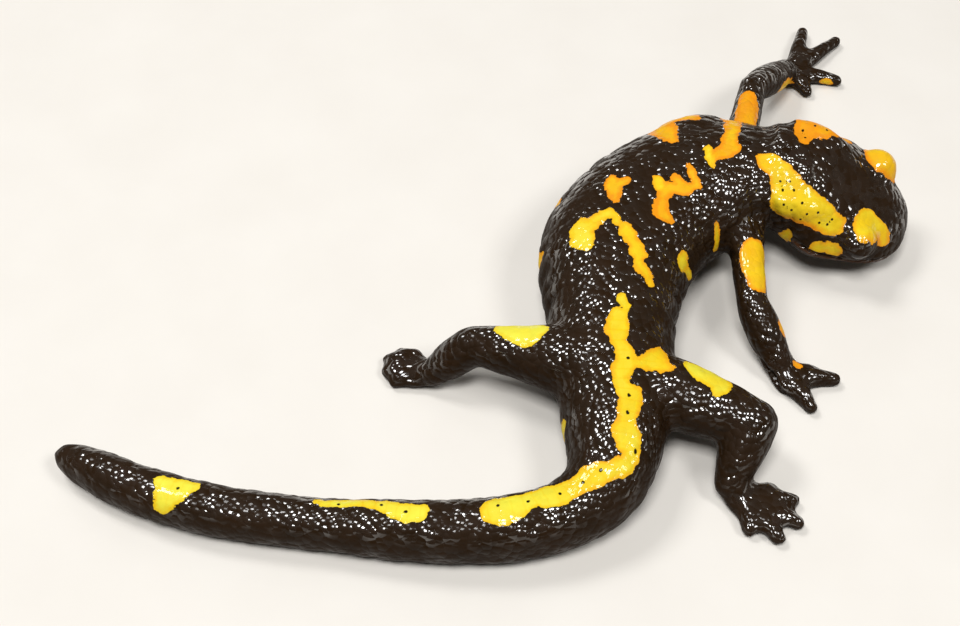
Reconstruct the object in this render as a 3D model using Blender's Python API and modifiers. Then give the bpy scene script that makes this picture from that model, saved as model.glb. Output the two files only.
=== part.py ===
"""Fire salamander, a still life-size model of a walking adult.

It rests on its belly, hands, feet and tail. The body is shaped whole, from lofts and muscle forms that
are fused into one surface, and is then parted by thin cuts into the pieces that a person would name.
Sizes are in millimetres and become metres where a mesh is made. +X is about the way the head points
and +Z is up. A bearing is an angle in plan, in degrees counter-clockwise from +X. Distances along the
body start at the nape.
"""

import math

import bmesh
import bpy
import numpy as np
from mathutils import Matrix, Vector
from mathutils.bvhtree import BVHTree

MM = 0.001

# --- making of the surface -----------------------------------------------------------------------
PART_GAP = 0.3  # width of the cut between two neighbouring pieces
FUSE_SIZE = 0.42  # grid step of the fused surface
SMOOTH_ROUNDS = 7
BODY_TRIANGLES = 4420  # of the fused body before it is parted

# --- body: nape to tail tip ----------------------------------------------------------------------
NAPE = (47.8, 18.7)
# (distance from the nape, bearing towards the tail)
BODY_BENDS = [
    (0, 174), (5, 177), (11, 194), (22, 222), (30, 244), (37, 263), (43, 266), (53, 270), (60, 267),
    (67, 262), (76, 219), (84, 193), (93, 182), (105, 174), (118, 173), (132, 166), (140, 159),
    (150, 151), (156, 152),
]
# (distance from the nape, half width, height over the axis, depth under the axis, clearance under it)
BODY_SECTIONS = [
    (-4, 7.9, 6.6, 6.0, 6.2),
    (0, 8.2, 6.9, 6.3, 5.4),
    (3, 8.9, 7.3, 6.8, 4.4),
    (8, 11.1, 8.2, 7.6, 2.8),
    (13, 12.2, 8.8, 8.3, 1.2),
    (22, 12.5, 9.1, 8.6, -0.2),
    (30, 12.6, 9.1, 8.6, -0.6),
    (36, 11.9, 8.8, 8.4, -0.6),
    (42, 10.6, 8.4, 8.0, -0.5),
    (49, 9.4, 7.9, 7.6, -0.4),
    (56, 8.6, 7.5, 7.1, -0.1),
    (64, 7.7, 7.0, 6.6, -0.1),
    (71.5, 6.1, 6.1, 6.0, -0.3),
    (80, 4.7, 5.1, 5.0, -0.4),
    (92, 4.4, 4.9, 4.8, -0.4),
    (104, 4.0, 4.5, 4.4, -0.4),
    (116, 3.5, 3.9, 3.8, -0.4),
    (128, 3.6, 3.9, 3.8, -0.4),
    (144, 3.4, 3.6, 3.6, -0.3),
    (151, 2.8, 3.0, 3.0, -0.1),
    (154.6, 1.7, 1.9, 1.9, 0.7),
    (156, 0.4, 0.4, 0.4, 2.0),
]
BODY_SQUARENESS = 2.2  # 2 is an ellipse and more is squarer
RING_STEP = 1.5
RING_POINTS = 40

# --- head: distances run back from the tip of the snout, heights from the line of the mouth ------
SNOUT = (21.1, -5.5, 4.0)  # from the nape in plan, and over the floor
HEAD_YAW = -15.5
HEAD_PITCH = 20  # snout down
HEAD_ROLL = 14  # right cheek down
# (distance behind the tip, half width, height over the mouth line, depth under it)
HEAD_SECTIONS = [
    (0.0, 1.4, 0.9, 0.5),
    (0.4, 3.5, 1.9, 1.0),
    (1.5, 5.5, 3.1, 1.6),
    (3.5, 7.1, 4.2, 2.3),
    (6.5, 8.6, 5.2, 3.0),
    (10.0, 9.7, 6.0, 3.7),
    (14.0, 10.8, 6.8, 4.4),
    (18.5, 9.6, 7.3, 5.1),
    (23.0, 8.3, 7.2, 5.8),
    (27.0, 7.6, 6.6, 6.0),
]
HEAD_SQUARENESS = 2.4
JAW_BACK = 18.0
EYE = (8.5, 7.1, 3.6)  # behind the tip, out from the midline, over the mouth line
EYE_RADIUS = 2.5
LID_RADIUS = 3.15
EYE_SLIT = (2.2, 1.55)  # half length and half height of the opening between the lids
EYE_TURN = (20, 12)  # degrees that the opening faces forward and up from straight sideways
PAROTOID = (18.6, 6.1, 4.3)
PAROTOID_RADII = (6.6, 2.6, 2.7)  # along, across, up
PAROTOID_TOE_IN = 10

# --- limbs ---------------------------------------------------------------------------------------
# swelling of the left shoulder muscle, which is the outer side of the bend of the neck: distance from
# the nape, out to the left of the axis and over it, then half sizes along, across and up
SHOULDER = ((11.5, 6.4, 2.7), (8.5, 5.4, 5.2))
# root: distance from the nape, out to the left of the axis, over the floor.
# upper and lower: length, bearing and height of the far end of each bone.
# extremity: its bearing. digits: bearings and lengths from the middle of the palm or sole.
# thigh and shin, where they differ from the usual: radii at the start, middle and end.
LIMBS = {
    "forelimb_left": {
        "root": (5.2, 8.0, 9.0), "upper": (16.2, 74, 9.0), "lower": (14.3, 53, 3.4), "extremity": 45,
        "digits": [(-67, 6.6), (-14, 9.5), (43, 14.3), (72, 13.4)],
    },
    "forelimb_right": {
        "root": (5.4, -8.0, 9.0), "upper": (15.0, -91, 7.3), "lower": (9.1, -65, 3.0), "extremity": -46,
        "digits": [(12, 4.6), (-4, 8.2), (-66, 7.4), (-112, 3.4)],
    },
    "hindlimb_left": {
        "root": (53.3, 5.2, 8.4), "upper": (15.9, 167, 8.0), "lower": (8.3, 191, 2.6), "extremity": 157,
        "thigh": (6.0, 4.3, 3.0), "shin": (3.0, 3.0, 2.2),
        "digits": [(90, 4.2), (122, 5.2), (151, 5.8), (181, 5.3), (213, 4.7)],
    },
    "hindlimb_right": {
        "root": (57.0, -5.0, 8.0), "upper": (15.8, -24, 7.8), "lower": (9.2, -118, 3.0), "extremity": -35,
        "digits": [(26, 5.4), (0, 8.0), (-28, 9.0), (-58, 8.4), (-92, 6.0)],
    },
}
# radii at the root, middle and end of each bone, then the half sizes of the palm or sole
FORELIMB = {"upper": (3.5, 2.7, 2.4), "lower": (2.5, 2.9, 2.3), "pad": (3.6, 2.9, 1.45), "reach": 3.0}
HINDLIMB = {"upper": (5.4, 4.9, 3.6), "lower": (3.5, 3.4, 2.3), "pad": (3.8, 3.1, 1.5), "reach": 3.2}
DIGIT_RADII = (1.5, 1.35, 1.2)  # base, knuckle, tip
KNUCKLE_HEIGHT = 1.45
PRESS = 0.15  # how far a pad or fingertip is pressed flat by the floor
FLOOR_REACH = 160.0  # half width of the cutter that levels the underside

# --- where the body is parted --------------------------------------------------------------------
# (distance from the nape, forward tilt in degrees, radius of the cutting disc)
BODY_CUTS = [
    (-2.2, 10, 11.5), (1.5, 4, 10.4), (44.0, 0, 12.0), (66.0, 0, 10.5), (92.0, 0, 7.5), (126.0, 0, 6.0),
]
# a distance inside each length of the body
BODY_PARTS = {
    "neck": 0.0, "trunk": 25.0, "pelvis": 56.0, "tail_base": 80.0, "tail_middle": 109.0, "tail_tip": 141.0,
}
# share of the upper bone that stays on the body, share of the lower bone before the wrist or ankle cut,
# then the radii of the discs that cut at the shoulder or hip, the elbow or knee, and the wrist or ankle
FORELIMB_CUTS = ((0.36, 0.84), (4.4, 4.0, 3.5))
HINDLIMB_CUTS = ((0.54, 0.84), (7.0, 7.6, 4.4))

SKIN_COLOUR = (0.012, 0.012, 0.014, 1.0)
EYE_COLOUR = (0.006, 0.005, 0.005, 1.0)


# --- numbers -------------------------------------------------------------------------------------
def smooth_table(rows):
    """Return a function that reads a table at any first-column value, smoothly and without overshoot."""
    table = np.array(rows, float)
    x, y = table[:, 0], table[:, 1:]
    step = np.diff(x)[:, None]
    slope = np.diff(y, axis=0) / step
    before, after = slope[:-1], slope[1:]
    same_way = before * after > 0
    middle = np.where(same_way, 2 * before * after / np.where(same_way, before + after, 1.0), 0.0)
    tangent = np.vstack([slope[:1], middle, slope[-1:]])

    def read(value):
        value = min(max(value, x[0]), x[-1])
        i = min(int(np.searchsorted(x, value, side="right")) - 1, len(x) - 2)
        t = (value - x[i]) / step[i, 0]
        rise = (1 + 2 * t) * (1 - t) ** 2 * y[i] + t * t * (3 - 2 * t) * y[i + 1]
        return rise + step[i, 0] * (t * (1 - t) ** 2 * tangent[i] - t * t * (1 - t) * tangent[i + 1])

    return read


def heading(bearing):
    """Unit vector in plan along a bearing."""
    angle = math.radians(bearing)
    return Vector((math.cos(angle), math.sin(angle), 0.0))


def turned(yaw=0.0, pitch=0.0, roll=0.0):
    """Rotation by yaw, then nose-down pitch, then right-side-down roll, in degrees."""
    return (
        Matrix.Rotation(math.radians(yaw), 4, "Z")
        @ Matrix.Rotation(math.radians(pitch), 4, "Y")
        @ Matrix.Rotation(math.radians(roll), 4, "X")
    )


read_bend = smooth_table(BODY_BENDS)
read_section = smooth_table(BODY_SECTIONS)
read_head = smooth_table(HEAD_SECTIONS)


def body_frame(distance, tilt=0.0):
    """Frame on the body axis: X towards the snout, Y to the left, Z up."""
    steps = max(2, int(abs(distance) / 0.5))
    place = Vector((*NAPE, 0.0))
    for i in range(steps):
        place += heading(read_bend(distance * (i + 0.5) / steps)[0]) * (distance / steps)
    _, _, depth, clearance = read_section(distance)
    place.z = clearance + depth
    return Matrix.Translation(place) @ turned(read_bend(distance)[0] + 180, tilt)


SNOUT_PLACE = Vector((*NAPE, 0.0)) + Vector(SNOUT)
HEAD_FRAME = Matrix.Translation(SNOUT_PLACE) @ turned(HEAD_YAW, HEAD_PITCH, HEAD_ROLL)


def in_head(point, side=1):
    """World place of a point given as (behind the snout tip, out from the midline, over the mouth line)."""
    return HEAD_FRAME @ Vector((-point[0], side * point[1], point[2]))


# --- solids --------------------------------------------------------------------------------------
def new_object(name, shape, collection):
    """Turn a bmesh in millimetres into an object in metres, with its faces pointing out."""
    bmesh.ops.recalc_face_normals(shape, faces=shape.faces)
    shape.transform(Matrix.Scale(MM, 4))
    mesh = bpy.data.meshes.new(name)
    shape.to_mesh(mesh)
    shape.free()
    item = bpy.data.objects.new(name, mesh)
    collection.objects.link(item)
    return item


def add_loft(shape, rings):
    """Close a solid over a row of rings that have equal numbers of points."""
    loops = [[shape.verts.new(point) for point in ring] for ring in rings]
    count = len(loops[0])
    for near, far in zip(loops, loops[1:]):
        for i in range(count):
            shape.faces.new((near[i], near[(i + 1) % count], far[(i + 1) % count], far[i]))
    shape.faces.new(loops[0])
    shape.faces.new(loops[-1])


def section_ring(frame, half_width, above, below, squareness):
    """A superellipse across the frame's X axis."""
    points = []
    for i in range(RING_POINTS):
        angle = 2 * math.pi * i / RING_POINTS
        side = math.copysign(abs(math.cos(angle)) ** (2 / squareness), math.cos(angle))
        rise = math.copysign(abs(math.sin(angle)) ** (2 / squareness), math.sin(angle))
        points.append(frame @ Vector((0.0, half_width * side, (above if rise > 0 else below) * rise)))
    return points


def add_bone(shape, start, end, radii):
    """A rounded limb segment with radii at its start, middle and end."""
    axis = end - start
    frame = Matrix.Translation(start) @ axis.to_track_quat("X", "Z").to_matrix().to_4x4()
    rings = []
    for i in range(5):
        lean = math.radians(-80 + 20 * i)
        rings.append((radii[0] * math.sin(lean), radii[0] * math.cos(lean)))
    for i in range(1, 8):
        t = i / 8
        radius = radii[0] * (1 - t) * (1 - 2 * t) + radii[1] * 4 * t * (1 - t) + radii[2] * t * (2 * t - 1)
        rings.append((axis.length * t, radius))
    for i in range(5):
        lean = math.radians(20 * i)
        rings.append((axis.length + radii[2] * math.sin(lean), radii[2] * math.cos(lean)))
    add_loft(shape, [section_ring(frame @ Matrix.Translation((x, 0, 0)), r, r, r, 2) for x, r in rings])


def add_ellipsoid(shape, frame, radii, segments=20):
    """An ellipsoid with its half sizes along the frame's axes."""
    sized = frame @ Matrix.Diagonal((*radii, 1.0))
    bmesh.ops.create_uvsphere(
        shape, u_segments=segments, v_segments=segments // 2 + 1, radius=1.0, matrix=sized
    )


def add_disc(shape, frame, radius, thickness=PART_GAP):
    """A thin round cutter across the frame's X axis."""
    upright = frame @ Matrix.Rotation(math.radians(90), 4, "Y")
    bmesh.ops.create_cone(
        shape, cap_ends=True, segments=24, radius1=radius, radius2=radius, depth=thickness, matrix=upright
    )


def add_block(shape, frame, low, high):
    """A box between two corners of a frame."""
    middle = (Vector(low) + Vector(high)) / 2
    size = Vector(high) - Vector(low)
    sized = frame @ Matrix.Translation(middle) @ Matrix.Diagonal((*size, 1.0))
    bmesh.ops.create_cube(shape, size=1.0, matrix=sized)


# --- limbs ---------------------------------------------------------------------------------------
def bone_end(start, length, bearing, height):
    """Far end of a bone with a given true length, bearing and end height."""
    run = math.sqrt(length**2 - (height - start.z) ** 2)
    end = start + heading(bearing) * run
    end.z = height
    return end


def limb_points(name):
    """Joints of a limb in order: root, elbow or knee, wrist or ankle, middle of the palm or sole."""
    limb = LIMBS[name]
    build = FORELIMB if name.startswith("fore") else HINDLIMB
    distance, out, height = limb["root"]
    root = body_frame(distance) @ Vector((0.0, out, 0.0))
    root.z = height
    hinge = bone_end(root, *limb["upper"])
    wrist = bone_end(hinge, *limb["lower"])
    pad = wrist + heading(limb["extremity"]) * build["reach"]
    pad.z = build["pad"][2] - PRESS
    return root, hinge, wrist, pad


def add_limb(shape, name):
    """Bones, pad and digits of one limb."""
    limb = LIMBS[name]
    build = FORELIMB if name.startswith("fore") else HINDLIMB
    root, hinge, wrist, pad = limb_points(name)
    add_bone(shape, root, hinge, limb.get("thigh", build["upper"]))
    add_bone(shape, hinge, wrist, limb.get("shin", build["lower"]))
    add_bone(shape, wrist, pad, (build["lower"][2], build["lower"][2] * 0.85, build["pad"][2]))
    add_ellipsoid(shape, Matrix.Translation(pad) @ turned(limb["extremity"]), build["pad"])
    base, knuckle, tip = DIGIT_RADII
    for bearing, length in limb["digits"]:
        start = pad + heading(bearing) * 1.2
        bend = pad + heading(bearing) * (length * 0.6)
        bend.z = KNUCKLE_HEIGHT
        end = pad + heading(bearing) * (length - tip)
        end.z = tip - PRESS
        add_bone(shape, start, bend, (base, base, knuckle))
        add_bone(shape, bend, end, (knuckle, tip, tip))


# --- the whole body ------------------------------------------------------------------------------
def add_body(shape):
    """Nape to tail tip, with the swelling of the left shoulder."""
    start, length = BODY_SECTIONS[0][0], BODY_SECTIONS[-1][0]
    stations = np.append(np.arange(start, length - 4.0, RING_STEP), np.linspace(length - 4.0, length, 9))
    rings = []
    for distance in stations:
        half_width, above, below, _ = read_section(distance)
        rings.append(section_ring(body_frame(distance), half_width, above, below, BODY_SQUARENESS))
    add_loft(shape, rings)
    (distance, out, over), radii = SHOULDER
    add_ellipsoid(shape, body_frame(distance) @ Matrix.Translation((0.0, out, over)), radii)


def add_head(shape):
    """Snout to nape, with the swellings of the lids and of the glands behind them."""
    rings = []
    for distance in np.append([0.0, 0.2, 0.4, 0.8], np.arange(1.5, HEAD_SECTIONS[-1][0] + 0.1, RING_STEP)):
        half_width, above, below = read_head(distance)
        frame = HEAD_FRAME @ Matrix.Translation((-distance, 0.0, 0.0))
        rings.append(section_ring(frame, half_width, above, below, HEAD_SQUARENESS))
    add_loft(shape, rings)
    for side in (1, -1):
        add_ellipsoid(shape, Matrix.Translation(in_head(EYE, side)), (LID_RADIUS, LID_RADIUS, LID_RADIUS))
        gland = HEAD_FRAME @ Matrix.Translation((-PAROTOID[0], side * PAROTOID[1], PAROTOID[2]))
        add_ellipsoid(shape, gland @ turned(-side * PAROTOID_TOE_IN), PAROTOID_RADII)


def eye_frame(side):
    """Frame at the middle of an eye, with X along its line of sight."""
    forward, up = EYE_TURN
    place = HEAD_FRAME @ Matrix.Translation((-EYE[0], side * EYE[1], EYE[2]))
    return place @ turned(side * (90 - forward), -up)


def add_sockets(shape):
    """Cutters that open both eye sockets."""
    for side in (1, -1):
        frame = eye_frame(side)
        socket = EYE_RADIUS + PART_GAP
        add_ellipsoid(shape, frame, (socket, socket, socket))


def add_lid_openings(shape):
    """Cutters that open the lids in front of both eyes."""
    for side in (1, -1):
        front = eye_frame(side) @ Matrix.Translation((EYE_RADIUS, 0.0, 0.0))
        slit = front @ Matrix.Rotation(math.radians(90), 4, "Y")
        bmesh.ops.create_cone(
            shape, cap_ends=True, segments=20, radius1=1.0, radius2=1.0, depth=3.4,
            matrix=slit @ Matrix.Diagonal((EYE_SLIT[1], EYE_SLIT[0], 1.0, 1.0)),
        )


def disc_places():
    """Frame and radius of every cut between the lengths of the body and across the joints of the limbs."""
    for distance, tilt, radius in BODY_CUTS:
        yield body_frame(distance, tilt), radius
    for name in LIMBS:
        (upper_share, lower_share), radii = FORELIMB_CUTS if name.startswith("fore") else HINDLIMB_CUTS
        root, hinge, wrist, _ = limb_points(name)
        places = [
            (root.lerp(hinge, upper_share), hinge - root),
            (hinge, (hinge - root).normalized() + (wrist - hinge).normalized()),
            (hinge.lerp(wrist, lower_share), wrist - hinge),
        ]
        for (place, along), radius in zip(places, radii):
            yield Matrix.Translation(place) @ along.to_track_quat("X", "Z").to_matrix().to_4x4(), radius


def add_jaw_cut(shape):
    """Cutter along the line of the mouth, to just past its corners."""
    half = PART_GAP / 2
    add_block(shape, HEAD_FRAME, (-JAW_BACK - half, -12.0, -half), (2.0, 12.0, half))


def add_throat_cut(shape):
    """Cutter down from the back of the jaw."""
    half = PART_GAP / 2
    add_block(shape, HEAD_FRAME, (-JAW_BACK - half, -12.0, -9.0), (-JAW_BACK + half, 12.0, half))


def add_floor_cut(shape):
    """Cutter that levels everything under the floor line."""
    low, high = (-FLOOR_REACH, -FLOOR_REACH, -12.0), (FLOOR_REACH, FLOOR_REACH, 0.0)
    add_block(shape, Matrix.Identity(4), low, high)


# --- assembly ------------------------------------------------------------------------------------
def clear_scene():
    for item in list(bpy.data.objects):
        bpy.data.objects.remove(item, do_unlink=True)


def new_collection(name):
    collection = bpy.data.collections.new(name)
    bpy.context.scene.collection.children.link(collection)
    return collection


def shaped(item):
    """A bmesh of an object as its modifiers leave it."""
    view = bpy.context.evaluated_depsgraph_get()
    shape = bmesh.new()
    shape.from_mesh(item.evaluated_get(view).to_mesh())
    return shape


def add_modifier(item, kind, **values):
    modifier = item.modifiers.new(kind.title(), kind)
    for key, value in values.items():
        setattr(modifier, key, value)
    return modifier


def fused_body(collection):
    """Join every form into one smooth skin of about BODY_TRIANGLES triangles."""
    shape = bmesh.new()
    add_body(shape)
    add_head(shape)
    for name in LIMBS:
        add_limb(shape, name)
    item = new_object("body_whole", shape, collection)
    add_modifier(item, "REMESH", mode="VOXEL", voxel_size=FUSE_SIZE * MM)
    add_modifier(item, "SMOOTH", factor=0.5, iterations=SMOOTH_ROUNDS)
    fine = shaped(item)
    triangles = 2 * len(fine.faces)
    fine.free()
    add_modifier(item, "DECIMATE", ratio=BODY_TRIANGLES / triangles)
    return item


def cutter(name, add_shape, collection):
    shape = bmesh.new()
    add_shape(shape)
    item = new_object(name, shape, collection)
    item.display_type = "WIRE"
    item.hide_render = True
    return item


def loose_pieces(shape):
    """Split a bmesh into one bmesh for each connected piece."""
    shape.verts.index_update()
    unseen = set(shape.verts)
    pieces = []
    while unseen:
        found = {unseen.pop()}
        edge_of_search = list(found)
        while edge_of_search:
            vertex = edge_of_search.pop()
            for edge in vertex.link_edges:
                other = edge.other_vert(vertex)
                if other in unseen:
                    unseen.remove(other)
                    found.add(other)
                    edge_of_search.append(other)
        piece = shape.copy()
        piece.verts.ensure_lookup_table()
        keep = {vertex.index for vertex in found}
        bmesh.ops.delete(piece, geom=[v for v in piece.verts if v.index not in keep], context="VERTS")
        pieces.append(piece)
    return pieces


def name_seeds():
    """A point inside every piece, in millimetres."""
    seeds = {"head": in_head((15.0, 0.0, 3.0)), "lower_jaw": in_head((9.0, 0.0, -1.8))}
    for name, distance in BODY_PARTS.items():
        seeds[name] = body_frame(distance).translation
    for name in LIMBS:
        kind, side = name.split("_")
        parts = ("upper_arm", "forearm", "hand") if kind == "forelimb" else ("thigh", "shin", "foot")
        root, hinge, wrist, pad = limb_points(name)
        for part, place in zip(parts, (root.lerp(hinge, 0.72), hinge.lerp(wrist, 0.5), pad)):
            seeds[f"{part}_{side}"] = place
    return seeds


def holds(piece, point):
    """Whether a closed piece has a point inside, so that a ray from it crosses the surface an odd number
    of times."""
    tree = BVHTree.FromBMesh(piece)
    way = Vector((0.31, 0.47, 0.83)).normalized()
    crossings = 0
    hit = tree.ray_cast(point, way)[0]
    while hit:
        crossings += 1
        hit = tree.ray_cast(hit + way * 0.001, way)[0]
    return crossings % 2 == 1


def principled(name, colour, roughness):
    material = bpy.data.materials.new(name)
    material.use_nodes = True
    shader = material.node_tree.nodes["Principled BSDF"]
    shader.inputs["Base Color"].default_value = colour
    shader.inputs["Roughness"].default_value = roughness
    shader.inputs["Metallic"].default_value = 0.0
    return material


def finish_piece(name, shape, collection, colour, roughness):
    item = new_object(name, shape, collection)
    item.data.shade_smooth()
    item.data.set_sharp_from_angle(angle=math.radians(40))
    item.data.materials.append(principled(f"{name}_finish", colour, roughness))
    return item


def rest_on_origin(collection):
    """Move the model so that the middle of its box is over the origin. Its flats lie at height 0."""
    corners = np.array([corner for item in collection.objects for corner in item.bound_box])
    middle = (corners.min(axis=0) + corners.max(axis=0)) / 2
    for item in collection.objects:
        item.data.transform(Matrix.Translation((-middle[0], -middle[1], 0.0)))


def build():
    clear_scene()
    collection = new_collection("fire_salamander")
    cutters = new_collection("cutters")

    whole = fused_body(cutters)
    whole.display_type = "WIRE"
    whole.hide_render = True
    cuts = [cutter("floor_cut", add_floor_cut, cutters)]
    for i, (frame, radius) in enumerate(disc_places()):
        cuts.append(cutter(f"joint_cut_{i}", lambda shape: add_disc(shape, frame, radius), cutters))
    for name, add_shape in (
        ("jaw_cut", add_jaw_cut), ("throat_cut", add_throat_cut),
        ("socket_cuts", add_sockets), ("lid_cuts", add_lid_openings),
    ):
        cuts.append(cutter(name, add_shape, cutters))
    for cut in cuts:
        add_modifier(whole, "BOOLEAN", operation="DIFFERENCE", solver="EXACT", object=cut)

    parted = shaped(whole)
    parted.transform(Matrix.Scale(1 / MM, 4))
    bmesh.ops.dissolve_degenerate(parted, dist=0.01, edges=parted.edges)
    bmesh.ops.triangulate(parted, faces=parted.faces)
    seeds = name_seeds()
    for piece in loose_pieces(parted):
        names = [name for name, point in seeds.items() if holds(piece, point)]
        if len(names) != 1:
            raise ValueError(f"a piece of the body holds {names}")
        finish_piece(names[0], piece, collection, SKIN_COLOUR, 0.3)

    for side, name in ((1, "eye_left"), (-1, "eye_right")):
        shape = bmesh.new()
        add_ellipsoid(shape, eye_frame(side), (EYE_RADIUS, EYE_RADIUS, EYE_RADIUS), 18)
        finish_piece(name, shape, collection, EYE_COLOUR, 0.05)

    rest_on_origin(collection)


build()
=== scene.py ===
import math

import bpy
import numpy as np
from mathutils import Matrix, Vector, noise


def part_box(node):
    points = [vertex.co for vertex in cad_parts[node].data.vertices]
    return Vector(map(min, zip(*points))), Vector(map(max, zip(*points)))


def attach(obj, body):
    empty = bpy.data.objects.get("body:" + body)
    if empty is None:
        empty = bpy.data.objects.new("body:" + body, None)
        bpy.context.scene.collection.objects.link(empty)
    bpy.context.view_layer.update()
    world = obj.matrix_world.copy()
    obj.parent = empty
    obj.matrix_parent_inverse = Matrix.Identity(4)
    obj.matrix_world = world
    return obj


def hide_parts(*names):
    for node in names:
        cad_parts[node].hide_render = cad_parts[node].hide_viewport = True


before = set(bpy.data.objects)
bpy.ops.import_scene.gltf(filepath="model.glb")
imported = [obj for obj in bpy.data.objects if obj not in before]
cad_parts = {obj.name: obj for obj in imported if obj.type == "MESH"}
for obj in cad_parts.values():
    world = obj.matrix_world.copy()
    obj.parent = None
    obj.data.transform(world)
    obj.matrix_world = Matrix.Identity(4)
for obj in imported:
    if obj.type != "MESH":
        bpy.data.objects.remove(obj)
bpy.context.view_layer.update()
mm = 0.001
print("frame loaded:", len(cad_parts), "nodes")

# The animal's own axes, as its solids were laid out, in millimetres. Distances run from nape to tail tip.
body = {
    "nape": (47.8, 18.7),
    "bends": [  # distance, bearing towards the tail
        (0, 174), (5, 177), (11, 194), (22, 222), (30, 244), (37, 263), (43, 266), (53, 270), (60, 267),
        (67, 262), (76, 219), (84, 193), (93, 182), (105, 174), (118, 173), (132, 166), (140, 159),
        (150, 151), (156, 152),
    ],
    "girth": [  # distance, half width, height over the axis, depth under it, clearance under the belly
        (-4, 7.9, 6.6, 6.0, 6.2), (0, 8.2, 6.9, 6.3, 5.4), (3, 8.9, 7.3, 6.8, 4.4), (8, 11.1, 8.2, 7.6, 2.8),
        (13, 12.2, 8.8, 8.3, 1.2), (22, 12.5, 9.1, 8.6, -0.2), (30, 12.6, 9.1, 8.6, -0.6),
        (36, 11.9, 8.8, 8.4, -0.6), (42, 10.6, 8.4, 8.0, -0.5), (49, 9.4, 7.9, 7.6, -0.4),
        (56, 8.6, 7.5, 7.1, -0.1), (64, 7.7, 7.0, 6.6, -0.1), (71.5, 6.1, 6.1, 6.0, -0.3),
        (80, 4.7, 5.1, 5.0, -0.4), (92, 4.4, 4.9, 4.8, -0.4), (104, 4.0, 4.5, 4.4, -0.4),
        (116, 3.5, 3.9, 3.8, -0.4), (128, 3.6, 3.9, 3.8, -0.4), (144, 3.4, 3.6, 3.6, -0.3),
        (151, 2.8, 3.0, 3.0, -0.1), (156, 0.4, 0.4, 0.4, 2.0),
    ],
    "stationStep": 0.25,
    "chunk": 4000,  # points measured at a time
    "reach": 1.3,  # share of its own girth within which a point still counts as body
    "from": 4.5,  # distance from which the body's own markings count
}
head = {
    "snout": (21.1, -5.5, 4.0),  # from the nape, and over the floor
    "turn": (-15.5, 20, 14),  # yaw, snout down, right cheek down
    "axisHeight": 1.5,  # of the line that places round the head are measured about
    "radius": 8.5,
    "length": 31.0,
    "reach": 12.5,  # from its axis within which a point still counts as head
    "until": 6.0,  # distance past the nape up to which the head's own markings count
    "eye": (8.5, 7.1, 3.6),  # behind the snout tip, out from the midline, over the line of the mouth
    "eyeTurn": (20, 12),  # how far it looks forward and up
}
boneOverrun = 2.0  # mm past either end of a bone where the skin is still its own
limbBones = {  # from, to, and how far the skin round the bone reaches
    "upperArmRight": ((42.1, 11.1, 9.0), (41.8, -3.8, 7.3), 4.0),
    "forearmRight": ((41.8, -3.8, 7.3), (45.2, -11.0, 3.0), 4.0),
    "palmRight": ((45.2, -11.0, 3.0), (47.3, -13.2, 1.3), 3.6),
    "upperArmLeft": ((43.0, 27.1, 9.0), (47.5, 42.7, 9.0), 4.0),
    "forearmLeft": ((47.5, 42.7, 9.0), (55.4, 53.2, 3.4), 4.4),
    "thighLeft": ((14.6, -15.8, 8.4), (-0.9, -12.2, 8.0), 6.6),
    "thighRight": ((24.7, -19.6, 8.0), (39.2, -26.1, 7.8), 6.6),
}


def smoothTable(rows):  # reads a table at any first-column value, smoothly and without overshoot
    table = np.array(rows, float)
    x, y = table[:, 0], table[:, 1:]
    step = np.diff(x)[:, None]
    slope = np.diff(y, axis=0) / step
    before, after = slope[:-1], slope[1:]
    sameWay = before * after > 0
    middle = np.where(sameWay, 2 * before * after / np.where(sameWay, before + after, 1.0), 0.0)
    tangent = np.vstack([slope[:1], middle, slope[-1:]])

    def read(at):
        at = np.clip(at, x[0], x[-1])
        i = np.clip(np.searchsorted(x, at, side="right") - 1, 0, len(x) - 2)
        t = (at - x[i])[:, None] / step[i]
        rise = (1 + 2 * t) * (1 - t) ** 2 * y[i] + t * t * (3 - 2 * t) * y[i + 1]
        return rise + step[i] * (t * (1 - t) ** 2 * tangent[i] - t * t * (1 - t) * tangent[i + 1])

    return read


def headMatrix():
    yaw, pitch, roll = (math.radians(angle) for angle in head["turn"])
    place = Vector((*body["nape"], 0.0)) + Vector(head["snout"])
    turn = Matrix.Rotation(yaw, 4, "Z") @ Matrix.Rotation(pitch, 4, "Y") @ Matrix.Rotation(roll, 4, "X")
    return Matrix.Translation(place) @ turn


def inHead(point, side=1):  # a place in the layout from one given in the head's own measures
    return headMatrix() @ Vector((-point[0], side * point[1], point[2]))


def boxMiddle(name):
    low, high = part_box(name)
    return (low + high) / 2


layoutShift = inHead(head["eye"], 1) - boxMiddle("eye_left") / mm  # the layout's place for the frame's origin
layoutShift.z = 0.0
readBend, readGirth = smoothTable(body["bends"]), smoothTable(body["girth"])


def axisStations():  # distance, plan place, height and heading towards the snout at close steps of the body
    step = body["stationStep"]
    first, last = body["girth"][0][0], body["girth"][-1][0]
    distance = np.arange(first, last + step / 2, step)
    bearing = np.radians(readBend(distance[:-1] + step / 2)[:, 0])
    run = np.stack([np.cos(bearing), np.sin(bearing)], 1) * step
    place = np.vstack([[0, 0], np.cumsum(run, 0)])
    place += np.array(body["nape"]) - place[np.argmin(np.abs(distance))]
    girth = readGirth(distance)
    height = girth[:, 3] + girth[:, 2]
    return distance, place, height, np.radians(readBend(distance)[:, 0]) + math.pi


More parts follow.
